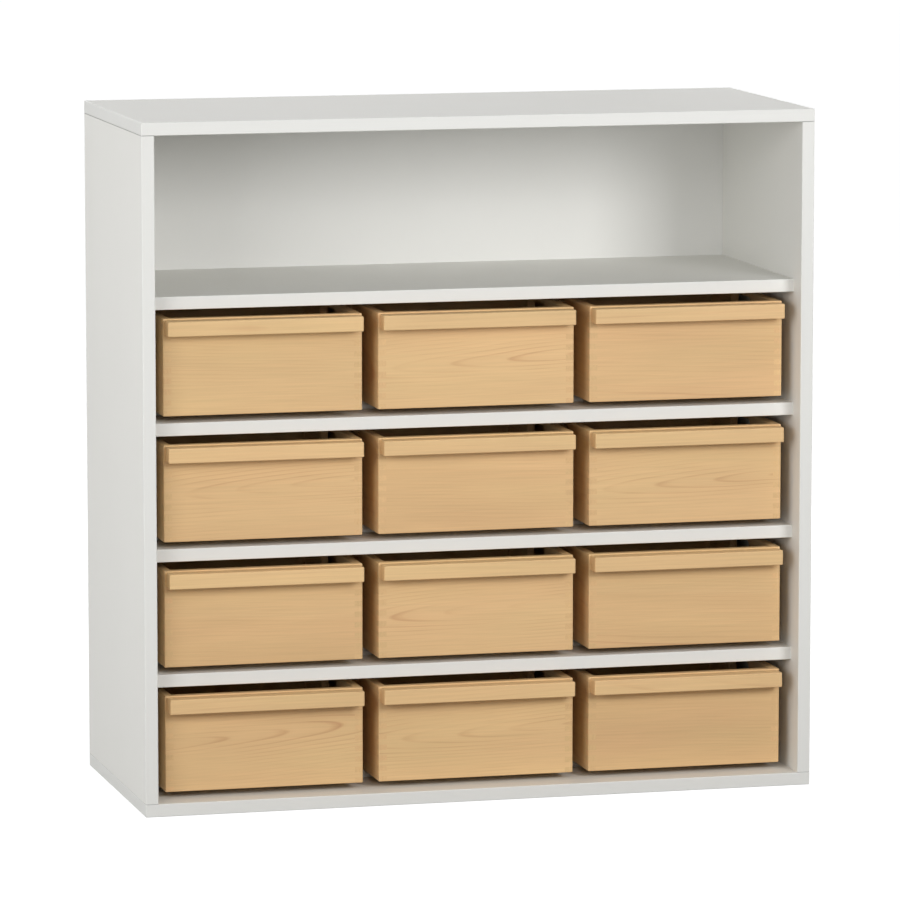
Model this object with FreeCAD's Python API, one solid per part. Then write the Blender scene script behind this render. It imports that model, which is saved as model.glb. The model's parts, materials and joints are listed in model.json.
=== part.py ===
# Tray storage cabinet: an open-fronted carcass of coated board with four shelves.
# The top space stays open. Each of the four bays below it holds three wooden trays.
#
# Millimetres, +Z up. The origin is on the floor, at the centre of the cabinet's footprint.
# The open front faces -Y, and the trays pull out towards -Y.
# Rows count down from the top, and columns from left to right as seen from the front.
import FreeCAD, Part
import math
import os

V = FreeCAD.Vector
os.makedirs("parts", exist_ok=True)

# Carcass
cabinet_width = 1010.0
cabinet_height = 1010.0
cabinet_depth = 420.0
board = 19.0
band = 2.0
band_round = 1.2
open_space_height = 236.0
shelf_setback = 36.0

# Back panel in its groove
back_thickness = 8.0
back_recess = 18.0
back_tongue = 8.0
groove_clearance = 0.2

# Dowels: across the corners, and between each shelf end and its side panel
dowel_radius = 4.0
dowel_length = 35.0
dowel_chamfer = 1.0
dowel_bite = 11.0
dowel_clearance = 0.05
dowel_hole_spare = 1.0
dowel_margin = 45.0
corner_dowel_count = 4
shelf_dowel_count = 3

# Trays in their bays
row_count = 4
column_count = 3
side_gap = 18.0
tray_gap = 24.0
tray_lift = 10.0
head_gap = 13.0
rear_gap = 28.0

# Tray box
wall = 12.0
finger_target = 8.0
tray_edge_round = 1.5
rim_chamfer = 1.0
floor_thickness = 4.0
floor_height = 8.0
floor_tongue = 6.0
floor_clearance = 0.2

# Hand holes in the tray's side walls
hand_hole_length = 100.0
hand_hole_height = 30.0
hand_hole_drop = 9.0
hand_hole_round = 2.5

# Grip bar on the tray's front
bar_projection = 24.0
bar_height = 22.0
bar_drop = 2.0
bar_inset = 3.0
bar_round = 1.5

# Guide runners under the trays' side walls
slide_gap = 0.3
runner_setback = 90.0
runner_overhang = 4.0
lip_gap = 1.0
lip_thickness = 3.0
lip_height = 6.0
lead_in = 5.0
stop_length = 10.0
stop_height = 14.0

# Sizes that follow from the ones above
half_width = cabinet_width / 2
front = -cabinet_depth / 2
rear = cabinet_depth / 2
inner_half = half_width - board
side_height = cabinet_height - 2 * board
shelf_front = front + shelf_setback
back_front = rear - back_recess - back_thickness
bay_height = (side_height - open_space_height - row_count * board) / row_count
bay_pitch = bay_height + board
tray_width = (2 * inner_half - 2 * side_gap - (column_count - 1) * tray_gap) / column_count
tray_height = bay_height - tray_lift - head_gap
tray_length = back_front - shelf_front - rear_gap
finger_pairs = max(1, round(tray_height / (2 * finger_target)))
finger_height = tray_height / (2 * finger_pairs)


def block(x, y, z):
    """A box from three (low, high) pairs."""
    return Part.makeBox(x[1] - x[0], y[1] - y[0], z[1] - z[0], V(x[0], y[0], z[0]))


def grown(x, y, z, by):
    """The same box with every face moved out."""
    return block((x[0] - by, x[1] + by), (y[0] - by, y[1] + by), (z[0] - by, z[1] + by))


def eased(solid, radius, chosen):
    """Rounds the edges whose middle passes the test."""
    edges = [e for e in solid.Edges if chosen(e.CenterOfMass)]
    return solid.makeFillet(radius, edges)


def near(a, b):
    return abs(a - b) < 0.01


def spread(low, high, count):
    """Evenly spaced places from low to high, or the middle for one."""
    if count == 1:
        return [(low + high) / 2]
    return [low + (high - low) * i / (count - 1) for i in range(count)]


def save(name, solids):
    shape = solids[0] if len(solids) == 1 else Part.makeCompound(solids)
    shape.exportStep("parts/" + name + ".step")


# A dowel lies with its middle at the joint line shifted by what it bites into the thinner side.
def dowel_body(radius, length, chamfer):
    """A turned pin along +Z from z = 0, with a chamfer on both ends."""
    outline = [
        V(0, 0, 0),
        V(radius - chamfer, 0, 0),
        V(radius, 0, chamfer),
        V(radius, 0, length - chamfer),
        V(radius - chamfer, 0, length),
        V(0, 0, length),
        V(0, 0, 0),
    ]
    face = Part.Face(Part.makePolygon(outline))
    return face.revolve(V(0, 0, 0), V(0, 0, 1), 360)


def aimed(solid, start, direction):
    """Turns a solid made along +Z to a direction and moves it to its start."""
    turn = FreeCAD.Rotation(V(0, 0, 1), direction)
    placed = solid.copy()
    placed.Placement = FreeCAD.Placement(start, turn)
    return placed


dowels = []
dowel_holes = []


def add_dowel(joint, direction):
    """A dowel across a joint. It goes deeper along the direction than against it."""
    start = joint - direction * dowel_bite
    dowels.append(aimed(dowel_body(dowel_radius, dowel_length, dowel_chamfer), start, direction))
    hole = Part.makeCylinder(dowel_radius + dowel_clearance, dowel_length + 2 * dowel_hole_spare)
    dowel_holes.append(aimed(hole, start - direction * dowel_hole_spare, direction))


# Corner dowels stand in the side panels' ends. Shelf dowels lie in the shelves' ends.
shelf_bottoms = [board + bay_pitch * (row_count - row) - board for row in range(row_count)]
side_middle = half_width - board / 2
for side in (-1, 1):
    for y in spread(front + dowel_margin, back_front - dowel_margin, corner_dowel_count):
        add_dowel(V(side * side_middle, y, board), V(0, 0, 1))
        add_dowel(V(side * side_middle, y, cabinet_height - board), V(0, 0, -1))
    for bottom in shelf_bottoms:
        for y in spread(shelf_front + dowel_margin, back_front - dowel_margin, shelf_dowel_count):
            add_dowel(V(side * inner_half, y, bottom + board / 2), V(-side, 0, 0))


def drilled(solid):
    """Cuts the dowel holes that meet this panel."""
    meeting = [h for h in dowel_holes if solid.BoundBox.intersect(h.BoundBox)]
    return solid.cut(Part.makeCompound(meeting))


# The back panel sits in a groove in the top, the base and both side panels.
back_x = (-inner_half - back_tongue, inner_half + back_tongue)
back_y = (back_front, back_front + back_thickness)
back_z = (board - back_tongue, cabinet_height - board + back_tongue)
back_panel = block(back_x, back_y, back_z)
back_groove = grown(back_x, back_y, back_z, groove_clearance)

# Each board's open edges carry a glued edge band, so the board itself is that much smaller.
bands = []


def cross_panel(low):
    """The top or the base: a board banded on all four edges, over the full width and depth."""
    z = (low, low + board)
    whole = block((-half_width, half_width), (front, rear), z)
    whole = whole.makeFillet(band_round, whole.Edges)
    inner_x = (-half_width + band, half_width - band)
    inner_y = (front + band, rear - band)
    bands.append(whole.common(block((-half_width, half_width), (front, inner_y[0]), z)))
    bands.append(whole.common(block((-half_width, half_width), (inner_y[1], rear), z)))
    bands.append(whole.common(block((-half_width, inner_x[0]), inner_y, z)))
    bands.append(whole.common(block((inner_x[1], half_width), inner_y, z)))
    return drilled(whole.common(block(inner_x, inner_y, z)).cut(back_groove))


def side_panel(x):
    """A side between base and top, banded along its front and rear edges."""
    z = (board, cabinet_height - board)
    front_band = block(x, (front, front + band), z)
    rear_band = block(x, (rear - band, rear), z)
    bands.append(eased(front_band, band_round, lambda c: near(c.y, front) and near(c.z, sum(z) / 2)))
    bands.append(eased(rear_band, band_round, lambda c: near(c.y, rear) and near(c.z, sum(z) / 2)))
    return drilled(block(x, (front + band, rear - band), z).cut(back_groove))


def shelf(bottom):
    """A shelf between the side panels, set back from the front and banded there."""
    x = (-inner_half, inner_half)
    z = (bottom, bottom + board)
    front_band = block(x, (shelf_front, shelf_front + band), z)
    bands.append(eased(front_band, band_round, lambda c: near(c.y, shelf_front) and near(c.x, 0)))
    return drilled(block(x, (shelf_front + band, back_front), z))


save("base_panel", [cross_panel(0)])
save("top_panel", [cross_panel(cabinet_height - board)])
save("left_side_panel", [side_panel((-half_width, -inner_half))])
save("right_side_panel", [side_panel((inner_half, half_width))])
for row in range(row_count):
    save("shelf_" + str(row + 1), [shelf(shelf_bottoms[row])])
save("back_panel", [back_panel])
save("edge_bands", bands)
save("dowels", dowels)


# A tray is built with its front face at y = 0, its middle at x = 0 and its underside at z = 0.
tray_half = tray_width / 2
tray_x = (-tray_half, tray_half)
tray_y = (0, tray_length)
tray_z = (0, tray_height)
tray_outside = block(tray_x, tray_y, tray_z)
tray_outside = tray_outside.makeFillet(tray_edge_round, tray_outside.Edges)

# The floor panel is held on all four sides in a groove in the walls.
floor_x = (-tray_half + wall - floor_tongue, tray_half - wall + floor_tongue)
floor_y = (wall - floor_tongue, tray_length - wall + floor_tongue)
floor_z = (floor_height, floor_height + floor_thickness)
tray_floor = block(floor_x, floor_y, floor_z)
floor_groove = grown(floor_x, floor_y, floor_z, floor_clearance)


def rectangle(x, y, z):
    """A closed rectangular wire at one height."""
    corners = [V(x[0], y[0], z), V(x[1], y[0], z), V(x[1], y[1], z), V(x[0], y[1], z), V(x[0], y[0], z)]
    return Part.makePolygon(corners)


# A shallow flare takes the sharp inner edge off the rim.
inner_x = (-tray_half + wall, tray_half - wall)
inner_y = (wall, tray_length - wall)
flare_x = (inner_x[0] - rim_chamfer, inner_x[1] + rim_chamfer)
flare_y = (inner_y[0] - rim_chamfer, inner_y[1] + rim_chamfer)
flare_low = rectangle(inner_x, inner_y, tray_height - rim_chamfer)
flare_high = rectangle(flare_x, flare_y, tray_height)
rim_flare = Part.makeLoft([flare_low, flare_high], True, True)

# Finger joints: the side walls own the lowest finger, the end walls own the highest.
end_notches = []
side_notches = []
for i in range(2 * finger_pairs):
    z = (i * finger_height, (i + 1) * finger_height)
    for x in ((-tray_half, -tray_half + wall), (tray_half - wall, tray_half)):
        for y in ((0, wall), (tray_length - wall, tray_length)):
            owner = end_notches if i % 2 == 0 else side_notches
            owner.append(block(x, y, z))


def finished_wall(plank, notches):
    """Cuts the fingers and the floor groove, and eases the outside and the rim."""
    shaped = plank.cut(Part.makeCompound(notches)).common(tray_outside)
    return shaped.cut(floor_groove).cut(rim_flare)


def hand_hole(x):
    """A slot with round ends, through one side wall."""
    radius = hand_hole_height / 2
    middle = V(x[0], tray_length / 2, tray_height - hand_hole_drop - radius)
    reach = hand_hole_length / 2 - radius
    a = middle + V(0, -reach, radius)
    b = middle + V(0, reach, radius)
    c = middle + V(0, reach, -radius)
    d = middle + V(0, -reach, -radius)
    ends = [middle + V(0, reach + radius, 0), middle + V(0, -reach - radius, 0)]
    edges = [Part.LineSegment(a, b), Part.Arc(b, ends[0], c), Part.LineSegment(c, d), Part.Arc(d, ends[1], a)]
    outline = Part.Wire([e.toShape() for e in edges])
    return Part.Face(outline).extrude(V(x[1] - x[0], 0, 0))


def side_wall(x):
    """A side wall with its rounded hand hole."""
    hole = hand_hole(x)
    solid = finished_wall(block(x, tray_y, tray_z), side_notches).cut(hole)
    zone = hole.BoundBox
    zone.enlarge(0.1)

    def on_hole_rim(c):
        at_face = near(c.x, x[0]) or near(c.x, x[1])
        return at_face and zone.isInside(c)

    return eased(solid, hand_hole_round, on_hole_rim)


end_walls = [
    finished_wall(block(tray_x, (0, wall), tray_z), end_notches),
    finished_wall(block(tray_x, (tray_length - wall, tray_length), tray_z), end_notches),
]
side_walls = [
    side_wall((-tray_half, -tray_half + wall)),
    side_wall((tray_half - wall, tray_half)),
]

# The grip bar is glued flat on the front wall, just under its rim.
bar_top = tray_height - bar_drop
bar_x = (-tray_half + bar_inset, tray_half - bar_inset)
grip_bar = block(bar_x, (-bar_projection, 0), (bar_top - bar_height, bar_top))
grip_bar = eased(grip_bar, bar_round, lambda c: not near(c.y, 0))

# A pair of runners carries each tray by its side walls, guides it and stops it at the back.
runner_height = tray_lift - slide_gap
runner_start = runner_setback
runner_stop = tray_length + slide_gap
runner_end = runner_stop + stop_length


def runner(side):
    """A strip with a guide lip along its outer edge and a raised stop at its rear end."""
    inner_edge = tray_half - wall - runner_overhang
    lip_edge = tray_half + lip_gap
    outer_edge = lip_edge + lip_thickness
    profile = [
        V(inner_edge, runner_start, -tray_lift),
        V(inner_edge, runner_end, -tray_lift),
        V(inner_edge, runner_end, stop_height - tray_lift),
        V(inner_edge, runner_stop, stop_height - tray_lift),
        V(inner_edge, runner_stop, -slide_gap),
        V(inner_edge, runner_start + lead_in, -slide_gap),
        V(inner_edge, runner_start, -tray_lift + runner_height / 2),
        V(inner_edge, runner_start, -tray_lift),
    ]
    strip = Part.Face(Part.makePolygon(profile)).extrude(V(outer_edge - inner_edge, 0, 0))
    lip_z = -slide_gap
    lip_outline = [
        V(outer_edge, runner_start + lead_in, lip_z),
        V(outer_edge, runner_stop, lip_z),
        V(lip_edge, runner_stop, lip_z),
        V(lip_edge, runner_start + 2 * lead_in, lip_z),
        V(outer_edge, runner_start + lead_in, lip_z),
    ]
    lip = Part.Face(Part.makePolygon(lip_outline)).extrude(V(0, 0, lip_height))
    whole = strip.fuse(lip).removeSplitter()
    if side > 0:
        return whole
    return whole.mirror(V(0, 0, 0), V(1, 0, 0))


# Each bay repeats the same tray and runners, column by column.
runners = []
for row in range(row_count):
    bay_floor = shelf_bottoms[row] - bay_height
    for column in range(column_count):
        middle = (column - (column_count - 1) / 2) * (tray_width + tray_gap)
        place = V(middle, shelf_front, bay_floor + tray_lift)
        name = "tray_r" + str(row + 1) + "c" + str(column + 1)
        save(name + "_end_walls", [w.translated(place) for w in end_walls])
        save(name + "_side_walls", [w.translated(place) for w in side_walls])
        save(name + "_floor", [tray_floor.translated(place)])
        save(name + "_grip_bar", [grip_bar.translated(place)])
        runners.extend(runner(side).translated(place) for side in (-1, 1))
save("tray_runners", runners)
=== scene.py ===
import json
import math

import bpy
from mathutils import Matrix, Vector

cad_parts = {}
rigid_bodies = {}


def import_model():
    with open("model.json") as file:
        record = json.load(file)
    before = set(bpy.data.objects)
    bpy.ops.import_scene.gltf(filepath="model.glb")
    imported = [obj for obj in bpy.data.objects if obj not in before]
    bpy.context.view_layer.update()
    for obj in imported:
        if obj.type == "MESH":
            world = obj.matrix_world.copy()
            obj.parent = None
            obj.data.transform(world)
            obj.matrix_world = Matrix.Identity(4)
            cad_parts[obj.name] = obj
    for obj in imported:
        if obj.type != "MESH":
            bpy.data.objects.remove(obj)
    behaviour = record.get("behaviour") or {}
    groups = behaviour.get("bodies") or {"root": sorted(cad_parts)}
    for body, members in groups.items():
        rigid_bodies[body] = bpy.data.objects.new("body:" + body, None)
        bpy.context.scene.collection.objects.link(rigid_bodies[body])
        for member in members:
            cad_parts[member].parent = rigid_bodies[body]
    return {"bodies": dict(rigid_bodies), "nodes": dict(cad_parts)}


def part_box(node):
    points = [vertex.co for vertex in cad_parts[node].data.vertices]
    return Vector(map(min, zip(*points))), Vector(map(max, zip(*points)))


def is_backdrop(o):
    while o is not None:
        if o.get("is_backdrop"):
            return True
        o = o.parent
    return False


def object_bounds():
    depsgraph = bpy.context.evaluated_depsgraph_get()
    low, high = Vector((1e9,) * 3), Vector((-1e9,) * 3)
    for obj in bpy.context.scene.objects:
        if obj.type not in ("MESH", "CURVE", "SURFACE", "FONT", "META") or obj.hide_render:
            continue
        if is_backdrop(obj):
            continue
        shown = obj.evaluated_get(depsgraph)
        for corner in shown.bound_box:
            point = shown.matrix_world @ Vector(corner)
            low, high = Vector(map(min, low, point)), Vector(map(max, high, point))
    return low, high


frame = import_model()
cad_low, cad_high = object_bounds()
nodes = frame["nodes"]
scene = bpy.context.scene

# The top, base, side boards and shelves: particle board with an off-white coating, pressed on warm.
# The coating has a fine satin grain that breaks up reflections, and is otherwise one even colour.
# The boards are sawn square and doweled together, so their CAD shapes stay as they are.
board_colour = (0.820, 0.814, 0.776)
board_roughness = 0.58
coating_shine = 0.41
satin_spread = 0.05
board_nodes = ["base_panel", "top_panel"]
board_nodes += [name for name in nodes if name.startswith("shelf_")]


def add(tree, kind, inputs=None, **settings):
    """A shader node with its settings, and its inputs given as values or as sockets to link."""
    node = tree.nodes.new(kind)
    for key, value in settings.items():
        setattr(node, key, value)
    for key, value in (inputs or {}).items():
        if isinstance(value, bpy.types.NodeSocket):
            tree.links.new(value, node.inputs[key])
        else:
            node.inputs[key].default_value = value
    return node


def begin(name, roughness, specular):
    """A new material: its node tree, its shader and the piece's own coordinates."""
    material = bpy.data.materials.new(name)
    material.use_nodes = True
    tree = material.node_tree
    shader = tree.nodes["Principled BSDF"]
    shader.inputs["Roughness"].default_value = roughness
    shader.inputs["Specular IOR Level"].default_value = specular
    return material, tree, shader, add(tree, "ShaderNodeTexCoord")


def tinted(tree, factor, low, high):
    """A colour that runs from low to high with a factor from 0 to 1."""
    mix = add(tree, "ShaderNodeMix", {"Factor": factor}, data_type="RGBA")
    mix.inputs["A"].default_value = (*low, 1)
    mix.inputs["B"].default_value = (*high, 1)
    return mix.outputs["Result"]


def scaled(colour, by):
    """A colour made lighter or darker."""
    return tuple(min(1, c * by) for c in colour)


def between(tree, value, source, target):
    """Carries a value from its source range over to a target range."""
    moved = add(tree, "ShaderNodeMapRange", {"Value": value})
    moved.inputs["From Min"].default_value = source[0]
    moved.inputs["From Max"].default_value = source[1]
    moved.inputs["To Min"].default_value = target[0]
    moved.inputs["To Max"].default_value = target[1]
    return moved.outputs["Result"]


def speckle(tree, place, cells, detail):
    """Even noise with a number of cells per metre."""
    settings = {"Vector": place.outputs["Object"], "Scale": cells, "Detail": detail}
    return add(tree, "ShaderNodeTexNoise", settings).outputs["Fac"]


def dented(tree, shader, height, strength, depth):
    """Gives a surface a fine relief."""
    settings = {"Height": height, "Strength": strength, "Distance": depth}
    relief = add(tree, "ShaderNodeBump", settings)
    tree.links.new(relief.outputs["Normal"], shader.inputs["Normal"])


def coating(name, colour, roughness):
    """A coated or moulded surface: an even colour, a faint cloudiness and a fine satin grain."""
    material, tree, shader, place = begin(name, roughness, coating_shine)
    cloud = speckle(tree, place, cells=9.0, detail=2.0)
    colours = tinted(tree, cloud, scaled(colour, 0.99), scaled(colour, 1.01))
    tree.links.new(colours, shader.inputs["Base Color"])
    grain = speckle(tree, place, cells=900.0, detail=3.0)
    satin_range = (roughness - satin_spread, roughness + satin_spread)
    satin = between(tree, grain, (0.0, 1.0), satin_range)
    tree.links.new(satin, shader.inputs["Roughness"])
    dented(tree, shader, grain, strength=0.15, depth=0.0002)
    return material


def finish_nodes(names, material):
    """Gives CAD nodes their finish."""
    for name in names:
        slots = nodes[name].data.materials
        slots.clear()
        slots.append(material)


finish_nodes(board_nodes, coating("coated_board", board_colour, board_roughness))

# The side boards: the same coated board, standing between the base and the top.
# Where their ends meet the other boards, a hairline of painted shadow is drawn into the colour.
hairline = 0.0006
hairline_shade = 0.55
side_low, side_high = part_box("left_side_panel")


def number(tree, kind, one, other=0.0):
    """One step of arithmetic between two values."""
    return add(tree, "ShaderNodeMath", {0: one, 1: other}, operation=kind).outputs["Value"]


def painted_joint_shadow(material):
    """Paints a hairline of shadow into the colour along the two joints at the ends of the side
    boards.
    """
    tree = material.node_tree
    base_colour = tree.nodes["Principled BSDF"].inputs["Base Color"]
    place = add(tree, "ShaderNodeTexCoord")
    axes = add(tree, "ShaderNodeSeparateXYZ", {"Vector": place.outputs["Object"]})
    middle = (side_low.z + side_high.z) / 2
    above = number(tree, "SUBTRACT", axes.outputs["Z"], middle)
    height = number(tree, "ABSOLUTE", above)
    from_joint = number(tree, "SUBTRACT", height, side_high.z - middle)
    gap = number(tree, "ABSOLUTE", from_joint)
    line = between(tree, gap, (hairline / 2, hairline), (1 - hairline_shade, 0.0))
    sideways = number(tree, "ABSOLUTE", axes.outputs["X"])
    outside = number(tree, "GREATER_THAN", sideways, -side_high.x)
    drawn = number(tree, "MULTIPLY", line, outside)
    kept = number(tree, "SUBTRACT", 1.0, drawn)
    plain = base_colour.links[0].from_socket
    shadowed = add(tree, "ShaderNodeVectorMath", {0: plain, "Scale": kept}, operation="SCALE")
    tree.links.new(shadowed.outputs["Vector"], base_colour)
    return material


side_material = painted_joint_shadow(coating("side_board", board_colour, board_roughness))
finish_nodes(["left_side_panel", "right_side_panel"], side_material)

# The dowels: turned beech, fluted and glued across every board joint.
# Each reaches into both boards, so none of them shows once the carcass is closed.
dowel_colour = (0.60, 0.42, 0.24)
dowel_dark = scaled(dowel_colour, 0.85)
dowel_material, dowel_tree, dowel_shader, dowel_place = begin(
    "dowel_beech", roughness=0.65, specular=0.3
)
dowel_fleck = speckle(dowel_tree, dowel_place, cells=1400.0, detail=2.0)
dowel_colours = tinted(dowel_tree, dowel_fleck, dowel_dark, dowel_colour)
dowel_tree.links.new(dowel_colours, dowel_shader.inputs["Base Color"])
finish_nodes(["dowels"], dowel_material)

# The back board: a coated board, thinner than the others, held in a groove on all four sides.
# It comes from another press, so its coating is a little darker, cooler and smoother than theirs.
back_colour = (0.806, 0.803, 0.777)
back_roughness = 0.50
finish_nodes(["back_panel"], coating("back_board", back_colour, back_roughness))

# The edge bands: two-millimetre plastic strips, glued to every open board edge and rounded over.
# They match the coating's colour, and a cutter leaves them slightly smoother than it.
band_colour = (0.828, 0.827, 0.796)
band_roughness = 0.42
# The side boards' edge bands carry the same painted hairline of shadow at the joints.
finish_nodes(["edge_bands"], painted_joint_shadow(coating("edge_band", band_colour, band_roughness)))

# The guide runners: moulded strips under the trays' side walls, glued to the shelves and the base.
# They are set back from the front, so the trays hide them.
runner_colour = (0.62, 0.62, 0.60)
runner_roughness = 0.5
finish_nodes(["tray_runners"], coating("runner_plastic", runner_colour, runner_roughness))

# The trays' walls: solid maple under clear matt lacquer, finger-jointed at the corners.
# The front and rear walls run their grain from side to side, and the side walls from front to back.
# Each plank is cut from its own place in the log, so no two trays show the same figure.
maple_colour = (0.785, 0.542, 0.270)
maple_rose = (0.760, 0.503, 0.256)
maple_line = (0.620, 0.352, 0.176)
maple_end = (1.025, 1.000, 0.990)
maple_heart = (0.968, 0.946, 0.940)
heart_blend = 0.0012
no_heart = 0.0
ring_spacing = 0.0050
wander_reach = (0, 0.003, 0.010)
lacquer_roughness = 0.5
lacquer_shine = 0.3
wall_figure = 0.95
# The side walls' maple is a shade darker than the fronts': painted shade, which darkens the narrow
# gaps between the trays.
side_shade_tone = 0.95
side_depth = 0.040
side_up = 0.02
tray_names = sorted(name for name in frame["bodies"] if name.startswith("tray_"))

# A cut says how a plank lies in its log: how deep the log's centre is behind the middle of the outer
# face, how far below the middle it is, and how the centre line slopes back and up.
arched_left = (0.0127, 0.004, -0.0585, 0.050)
arched_right = (0.0130, -0.012, 0.0585, 0.060)
straight = (0.050, 0.110, 0.012, -0.035)

# For each tray: the front's cut, its own shift down the log, the radius of the darker heartwood that
# it shows, if any, and its tone.
front_planks = {
    "tray_r1c1": (straight, 0.030, 0.0, 0.98),
    "tray_r1c2": (arched_left, 0.000, 0.0, 1.02),
    "tray_r1c3": (straight, -0.025, 0.122, 1.00),
    "tray_r2c1": (arched_left, -0.008, 0.0, 1.01),
    "tray_r2c2": (straight, 0.060, 0.197, 1.01),
    "tray_r2c3": (arched_left, 0.007, 0.0, 0.99),
    "tray_r3c1": (straight, 0.012, 0.127, 0.99),
    "tray_r3c2": (arched_left, 0.001, 0.0, 1.01),
    "tray_r3c3": (straight, -0.020, 0.108, 0.99),
    "tray_r4c1": (arched_right, 0.003, 0.0, 1.00),
    "tray_r4c2": (arched_left, -0.002, 0.0, 1.00),
    "tray_r4c3": (straight, 0.090, 0.233, 0.96),
}


def noise(tree, place, stretch, detail):
    """Noise with its own count of cells per metre along each axis of the grain."""
    cells = add(tree, "ShaderNodeMapping", {"Vector": place, "Scale": stretch})
    settings = {"Vector": cells.outputs["Vector"], "Scale": 1.0, "Detail": detail}
    return add(tree, "ShaderNodeTexNoise", settings)


def vector(tree, kind, one, other):
    """One step of arithmetic between two vectors or colours."""
    return add(tree, "ShaderNodeVectorMath", {0: one, 1: other}, operation=kind).outputs["Vector"]


def ring_lines(tree, log_place, spacing):
    """The rings' own pattern: pale early wood that darkens slowly to a thin line, and a sharp end."""
    rings = add(tree, "ShaderNodeTexWave", {"Vector": log_place})
    rings.wave_type = "RINGS"
    rings.rings_direction = "X"
    rings.wave_profile = "SAW"
    # At a scale of 1 the node draws 20 / tau rings to the metre.
    rings.inputs["Scale"].default_value = math.tau / (20 * spacing)
    line = add(tree, "ShaderNodeValToRGB", {"Fac": rings.outputs["Fac"]})
    ramp = line.color_ramp.elements
    ramp[0].position = 0.0
    ramp[0].color = (0.10, 0.10, 0.10, 1)
    ramp[1].position = 0.92
    ramp[1].color = (1, 1, 1, 1)
    for position, darkness in ((0.12, 0.0), (0.70, 0.12), (1.0, 0.25)):
        ramp.new(position).color = (darkness, darkness, darkness, 1)
    return line.outputs["Color"]


def maple(name, middle, turn, face, cut, heart, spacing, figure, tone):
    """Maple with its growth rings about a line in the log.

    middle is the node's middle, and turn brings the grain onto X. face is how far the outer face
    lies from the middle, across the grain. cut is how the plank lies in the log. heart is the
    heartwood's radius, spacing is the rings', and figure is how strongly their lines show.
    """
    depth, below, back, up = cut
    material, tree, shader, place = begin(name, lacquer_roughness, lacquer_shine)
    own_place = place.outputs["Object"]
    moved = add(tree, "ShaderNodeMapping", {"Vector": own_place}, vector_type="TEXTURE")
    moved.inputs["Location"].default_value = middle
    moved.inputs["Rotation"].default_value = (0, 0, turn)
    turned = add(tree, "ShaderNodeMapping", {"Vector": own_place}, vector_type="TEXTURE")
    turned.inputs["Rotation"].default_value = (0, 0, turn)
    plank = turned.outputs["Vector"]

    # The centre line wanders a little, then the plank is laid in its log.
    wander = noise(tree, plank, stretch=(4.0, 14.0, 14.0), detail=2.0)
    push = vector(tree, "SUBTRACT", wander.outputs["Color"], (0.5, 0.5, 0.5))
    reach = vector(tree, "MULTIPLY", push, wander_reach)
    bent = vector(tree, "ADD", moved.outputs["Vector"], reach)
    log = add(tree, "ShaderNodeMapping", {"Vector": bent}, vector_type="TEXTURE")
    log.inputs["Location"].default_value = (0, -face + depth, -below)
    log.inputs["Rotation"].default_value = (0, -up, back)
    log_place = log.outputs["Vector"]
    line = ring_lines(tree, log_place, spacing)

    # The lines are clearest at the log centre's height, weaker on end grain, and come in patches.
    offset = add(tree, "ShaderNodeSeparateXYZ", {"Vector": log_place})
    height = number(tree, "ABSOLUTE", offset.outputs["Z"])
    flat = between(tree, height, (0.006, 0.040), (1.0, 0.33))
    facing = add(tree, "ShaderNodeSeparateXYZ", {"Vector": place.outputs["Normal"]})
    along = number(tree, "ABSOLUTE", facing.outputs["Y" if turn else "X"])
    end = between(tree, along, (0.6, 0.9), (0.0, 1.0))
    patch = noise(tree, plank, stretch=(7.0, 26.0, 26.0), detail=2.0)
    strength = between(tree, patch.outputs["Fac"], (0.38, 0.62), (0.15 * figure, figure))
    clear = number(tree, "MULTIPLY", flat, between(tree, end, (0.0, 1.0), (1.0, 0.4)))
    drawn = number(tree, "MULTIPLY", line, number(tree, "MULTIPLY", strength, clear))

    # The wood's hue drifts between two tones, and the lines are laid over it.
    cloud = noise(tree, plank, stretch=(3.0, 15.0, 15.0), detail=1.0)
    hue = between(tree, cloud.outputs["Color"], (0.35, 0.65), (0.0, 1.0))
    plain = tinted(tree, hue, scaled(maple_colour, tone), scaled(maple_rose, tone))
    wood = add(tree, "ShaderNodeMix", {"Factor": drawn}, data_type="RGBA")
    tree.links.new(plain, wood.inputs["A"])
    wood.inputs["B"].default_value = (*scaled(maple_line, tone), 1)

    # Fine fibres and broad clouds shade the wood, and heartwood and end grain have their own tints.
    fibre = noise(tree, plank, stretch=(9.0, 380.0, 380.0), detail=4.0)
    shade = between(tree, fibre.outputs["Fac"], (0.3, 0.7), (0.96, 1.04))
    broad = between(tree, cloud.outputs["Fac"], (0.3, 0.7), (0.95, 1.05))
    settings = {0: wood.outputs["Result"], "Scale": number(tree, "MULTIPLY", shade, broad)}
    streaked = add(tree, "ShaderNodeVectorMath", settings, operation="SCALE")
    radial = vector(tree, "MULTIPLY", log_place, (0, 1, 1))
    radius = add(tree, "ShaderNodeVectorMath", {0: radial}, operation="LENGTH")
    rim = (heart - heart_blend, heart + heart_blend)
    inside = between(tree, radius.outputs["Value"], rim, (1.0, 0.0))
    heart_tint = tinted(tree, inside, (1, 1, 1), maple_heart)
    hearted = vector(tree, "MULTIPLY", streaked.outputs["Vector"], heart_tint)
    end_tint = tinted(tree, end, (1, 1, 1), maple_end)
    shaded = vector(tree, "MULTIPLY", hearted, end_tint)
    tree.links.new(shaded, shader.inputs["Base Color"])
    dented(tree, shader, fibre.outputs["Fac"], strength=0.12, depth=0.0003)
    return material


def varied(count, rate, reach):
    """A value that differs from tray to tray, up to reach above or below zero."""
    return reach * math.sin(rate * count)


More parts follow.
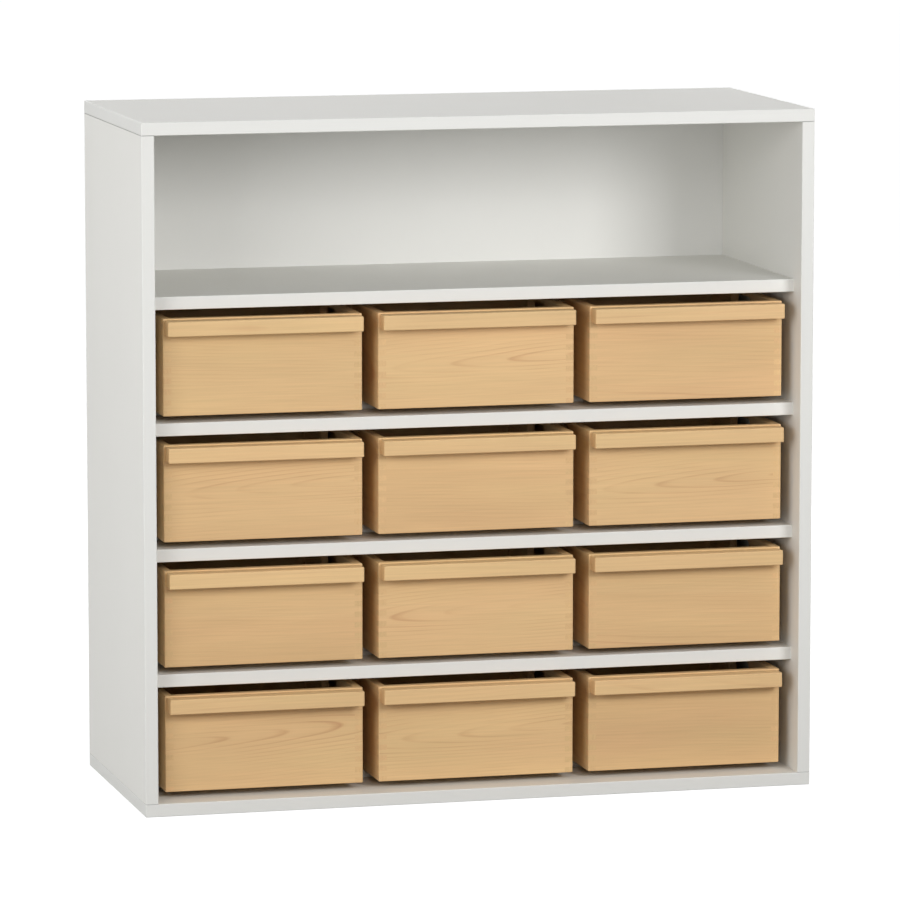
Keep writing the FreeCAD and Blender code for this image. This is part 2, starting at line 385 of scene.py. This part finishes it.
for count, tray in enumerate(tray_names):
    (depth, below, back, up), shift, heart, tone = front_planks[tray]
    low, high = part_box(tray + "_end_walls")
    ends = maple(
        tray + "_end_maple",
        middle=(low + high) / 2,
        turn=0,
        face=(high.y - low.y) / 2,
        cut=(depth, below + shift, back, up),
        heart=heart,
        spacing=ring_spacing,
        figure=wall_figure,
        tone=tone,
    )
    finish_nodes([tray + "_end_walls"], ends)
    low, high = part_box(tray + "_side_walls")
    side_below = varied(count, rate=2.9, reach=0.060)
    side_back = varied(count, rate=2.1, reach=0.030)
    sides = maple(
        tray + "_side_maple",
        middle=(low + high) / 2,
        turn=math.pi / 2,
        face=(high.x - low.x) / 2,
        cut=(side_depth, side_below, side_back, side_up),
        heart=no_heart,
        spacing=ring_spacing,
        figure=wall_figure,
        # The side walls take the darker tone, painted shade for the gaps between the trays.
        tone=tone * side_shade_tone,
    )
    finish_nodes([tray + "_side_walls"], sides)

# The trays' floors: thin maple-faced plywood, slid into a groove in the four walls before gluing.
# The veneer is peeled from the log, so its figure is wide.
veneer_spacing = 0.012
veneer_tone = 0.97
veneer_below = 0.09
veneer_back = 0.03
veneer_up = 0.05
for count, tray in enumerate(tray_names):
    low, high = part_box(tray + "_floor")
    veneer_depth = varied(count, rate=1.9, reach=0.03)
    veneer = maple(
        tray + "_floor_veneer",
        middle=(low + high) / 2,
        turn=0,
        face=0,
        cut=(veneer_depth, veneer_below, veneer_back, veneer_up),
        heart=no_heart,
        spacing=veneer_spacing,
        figure=wall_figure,
        tone=veneer_tone,
    )
    finish_nodes([tray + "_floor"], veneer)

# The grip bars: maple strips cut with straight grain, rounded over and glued under each front rim.
# They come from paler wood than the walls, and each differs a little in tone.
bar_figure = 0.60
bar_depth = 0.06
bar_tone = 1.045
for count, tray in enumerate(tray_names):
    low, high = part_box(tray + "_grip_bar")
    bar_below = varied(count, rate=1.7, reach=0.09)
    bar_back = varied(count, rate=3.3, reach=0.03)
    bar_up = varied(count, rate=2.7, reach=0.02)
    bar = maple(
        tray + "_bar_maple",
        middle=(low + high) / 2,
        turn=0,
        face=(high.y - low.y) / 2,
        cut=(bar_depth, bar_below, bar_back, bar_up),
        heart=no_heart,
        spacing=ring_spacing,
        figure=bar_figure,
        tone=bar_tone + varied(count, rate=4.6, reach=0.025),
    )
    finish_nodes([tray + "_grip_bar"], bar)

# The studio: a pale floor, a white surround and eight soft lamps.
# Camera, glossy and transmission rays see the surround as pure white. All others see it dim, so
# that it adds little light.
floor_size = 40.0
floor_colour = (0.40, 0.40, 0.40)
seen_floor_colour = (0.35, 0.35, 0.35)
white_from = 0.5
white_at = 3.5
least_white = 0.88
bpy.ops.object.select_all(action="DESELECT")
bpy.ops.mesh.primitive_plane_add(size=floor_size, location=(0, 0, 0))
floor = bpy.context.object
floor.name = "studio_floor"
floor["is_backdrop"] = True
floor_material = bpy.data.materials.new("studio_floor")
floor_material.use_nodes = True
floor_tree = floor_material.node_tree
floor_shader = floor_tree.nodes["Principled BSDF"]
floor_shader.inputs["Base Color"].default_value = (*floor_colour, 1)
floor_shader.inputs["Roughness"].default_value = 0.9
floor_shader.inputs["Specular IOR Level"].default_value = 0.0
seen = add(floor_tree, "ShaderNodeLightPath")
dim_floor = add(floor_tree, "ShaderNodeBsdfDiffuse", {"Color": (*seen_floor_colour, 1)})
floor_place = add(floor_tree, "ShaderNodeTexCoord")
# The floor glows for the camera, more the farther it lies, so that only the shadow stands out.
away = add(
    floor_tree, "ShaderNodeVectorMath", {0: floor_place.outputs["Object"]}, operation="LENGTH"
)
whiteness = between(
    floor_tree, away.outputs["Value"], (white_from, white_at), (least_white, 1.0)
)
glow = add(floor_tree, "ShaderNodeEmission", {"Color": (1, 1, 1, 1), "Strength": whiteness})
seen_floor = add(
    floor_tree,
    "ShaderNodeAddShader",
    {0: dim_floor.outputs["BSDF"], 1: glow.outputs["Emission"]},
)
choice = add(
    floor_tree,
    "ShaderNodeMixShader",
    {
        "Fac": seen.outputs["Is Camera Ray"],
        1: floor_shader.outputs["BSDF"],
        2: seen_floor.outputs["Shader"],
    },
)
floor_output = floor_tree.nodes["Material Output"]
floor_tree.links.new(choice.outputs["Shader"], floor_output.inputs["Surface"])
floor.data.materials.append(floor_material)

surround_light = 0.08
lamp_distance = 3.5
world = bpy.data.worlds.new("studio_surround")
scene.world = world
world.use_nodes = True
world_tree = world.node_tree
light_path = add(world_tree, "ShaderNodeLightPath")
rays = light_path.outputs
mirrored = number(world_tree, "MAXIMUM", rays["Is Camera Ray"], rays["Is Glossy Ray"])
bare = number(world_tree, "MAXIMUM", mirrored, rays["Is Transmission Ray"])
white = between(world_tree, bare, (0.0, 1.0), (surround_light, 1.0))
surround = world_tree.nodes["Background"]
world_tree.links.new(white, surround.inputs["Strength"])
surround.inputs["Color"].default_value = (1, 1, 1, 1)


def softbox(name, turned, raised, size, power):
    """A square lamp that aims at the middle, turned from the front and raised, in degrees."""
    turn = math.radians(turned)
    rise = math.radians(raised)
    level = math.cos(rise)
    toward = Vector((math.sin(turn) * level, -math.cos(turn) * level, math.sin(rise)))
    lamp = bpy.data.lights.new(name, "AREA")
    lamp.shape = "SQUARE"
    lamp.size = size
    lamp.energy = power
    holder = bpy.data.objects.new(name, lamp)
    holder.location = (cad_low + cad_high) / 2 + toward * lamp_distance
    holder.rotation_euler = toward.to_track_quat("Z", "Y").to_euler()
    holder.visible_camera = False
    scene.collection.objects.link(holder)


softbox("key_softbox", turned=26, raised=18, size=0.95, power=42)
softbox("front_softbox", turned=0, raised=25, size=2.4, power=25)
softbox("left_front_softbox", turned=-45, raised=12, size=1.6, power=34)
softbox("left_softbox", turned=-85, raised=12, size=2.2, power=36)
softbox("right_softbox", turned=115, raised=8, size=2.2, power=32)
softbox("rear_left_softbox", turned=-120, raised=6, size=2.2, power=18)
softbox("rear_right_softbox", turned=140, raised=5, size=2.2, power=27)
softbox("high_rear_softbox", turned=180, raised=50, size=2.2, power=40)

# The camera stands to the left and a little above, far off with a long lens, as in the photograph.
# The photograph keeps upright edges upright by a strong lens shift. The shift would stay in every
# other view, so here the camera is tilted down instead, and upright edges converge by a few pixels.
lens_length = 241.6
camera_place = (-2.2469, -8.6499, 1.7218)
camera_down = math.radians(7.828)
camera_round = math.radians(14.595)
camera_data = bpy.data.cameras.new("camera")
camera_data.lens = lens_length
camera_data.sensor_width = 36.0
camera = bpy.data.objects.new("camera", camera_data)
camera.location = camera_place
camera.rotation_euler = (math.pi / 2 - camera_down, 0, -camera_round)
scene.collection.objects.link(camera)
scene.camera = camera
scene.view_settings.view_transform = "Standard"

low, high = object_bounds()
